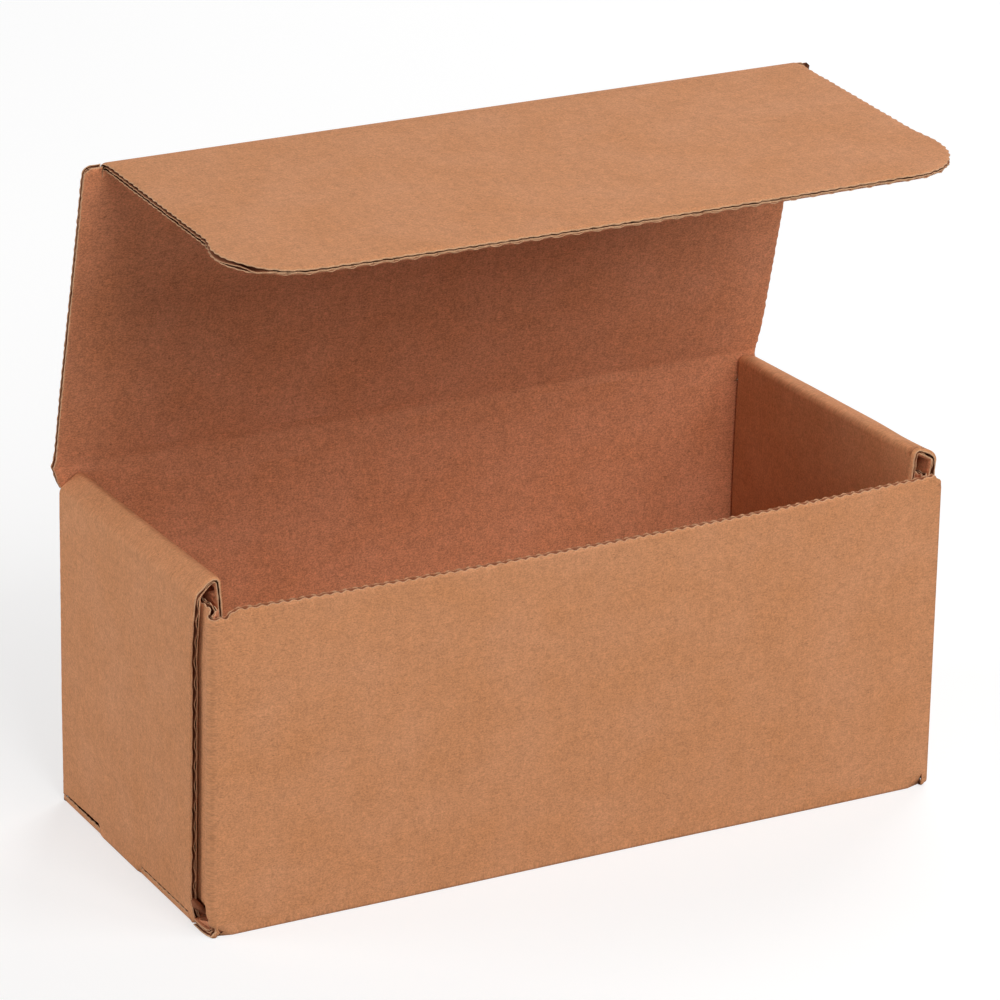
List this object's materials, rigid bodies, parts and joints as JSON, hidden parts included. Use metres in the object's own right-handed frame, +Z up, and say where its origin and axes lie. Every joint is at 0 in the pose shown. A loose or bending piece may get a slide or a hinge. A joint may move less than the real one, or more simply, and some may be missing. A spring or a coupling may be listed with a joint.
{
  "type": "corrugated mailer box with hinged lid and tuck flap",
  "caption": "Folded corrugated cardboard mailer box: rectangular tray with rolled double side walls, hinged lid and tuck-in front flap, shown open.",
  "frame": {"origin": "centre of the underside of the tray's bottom panel", "axes": "+X along the box's length, +Y from the front panel towards the hinged back panel, +Z up"},
  "size_m": [0.2472, 0.129, 0.2134],
  "materials": {
    "kraft_tray": "matte",
    "kraft_lid": "matte",
    "kraft_tuck": "matte"
  },
  "bodies": {
    "tray": {"tray": "kraft_tray"},
    "lid": {"lid": "kraft_lid"},
    "tuck_flap": {"tuck_flap": "kraft_tuck"}
  },
  "joints": [
    {"name": "lid_hinge", "type": "hinge", "parent": "tray", "child": "lid", "pos_m": [0, 0.0537, 0.11095], "axis": [-1, 0, 0], "range_deg": [-67.6, 104.4]},
    {"name": "tuck_hinge", "type": "hinge", "parent": "lid", "child": "tuck_flap", "pos_m": [0, 0.02774, 0.21207], "axis": [-1, 0, 0], "range_deg": [-19.8, 78.2]}
  ]
}
